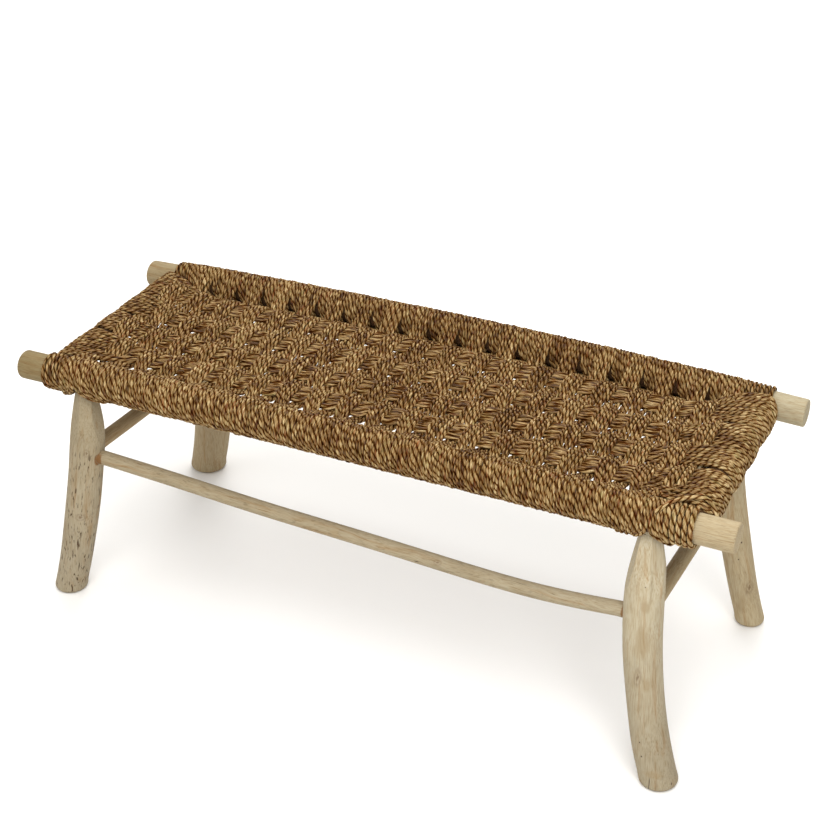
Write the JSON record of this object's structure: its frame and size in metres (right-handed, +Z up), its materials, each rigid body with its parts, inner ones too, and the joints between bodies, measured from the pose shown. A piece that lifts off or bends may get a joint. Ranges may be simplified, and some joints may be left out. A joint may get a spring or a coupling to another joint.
{
  "type": "bench",
  "caption": "Low rustic bench: round debarked branch rails, splayed whittled legs, bent stretchers, and a seat of twisted rope woven over and under.",
  "frame": {"origin": "on the floor, under the middle of the bench", "axes": "+X to the right along the bench, +Y from the front rail to the rear rail, +Z up"},
  "size_m": [1.203, 0.5152, 0.4664],
  "materials": {
    "branch_wood": "debarked, sanded and bleached teak branch, unvarnished",
    "seat_rope": "two-ply twisted dried seagrass rope, unfinished"
  },
  "bodies": {
    "root": {"front_rail": "branch_wood", "rear_rail": "branch_wood", "left_end_rail": "branch_wood", "right_end_rail": "branch_wood", "leg_front_left": "branch_wood", "leg_front_right": "branch_wood", "leg_rear_left": "branch_wood", "leg_rear_right": "branch_wood", "front_stretcher": "branch_wood", "rear_stretcher": "branch_wood", "left_stretcher": "branch_wood", "right_stretcher": "branch_wood", "front_rail_wrap": "seat_rope", "rear_rail_wrap": "seat_rope", "left_end_wrap": "seat_rope", "right_end_wrap": "seat_rope", "weft_band_1": "seat_rope", "weft_band_2": "seat_rope", "weft_band_3": "seat_rope", "weft_band_4": "seat_rope", "warp_band_01": "seat_rope", "warp_band_02": "seat_rope", "warp_band_03": "seat_rope", "warp_band_04": "seat_rope", "warp_band_05": "seat_rope", "warp_band_06": "seat_rope", "warp_band_07": "seat_rope", "warp_band_08": "seat_rope", "warp_band_09": "seat_rope", "warp_band_10": "seat_rope", "warp_band_11": "seat_rope", "warp_band_12": "seat_rope", "warp_band_13": "seat_rope", "warp_band_14": "seat_rope", "warp_band_15": "seat_rope", "warp_band_16": "seat_rope", "warp_band_17": "seat_rope", "warp_band_18": "seat_rope", "warp_band_19": "seat_rope", "warp_band_20": "seat_rope", "warp_band_21": "seat_rope", "warp_band_22": "seat_rope", "warp_band_23": "seat_rope", "warp_band_24": "seat_rope", "warp_band_25": "seat_rope", "warp_band_26": "seat_rope", "warp_band_27": "seat_rope", "warp_band_28": "seat_rope", "warp_band_29": "seat_rope", "warp_band_30": "seat_rope", "warp_band_31": "seat_rope", "warp_band_32": "seat_rope", "warp_band_33": "seat_rope", "warp_band_34": "seat_rope", "warp_band_35": "seat_rope", "warp_band_36": "seat_rope", "warp_band_37": "seat_rope", "warp_band_38": "seat_rope"}
  },
  "joints": []
}
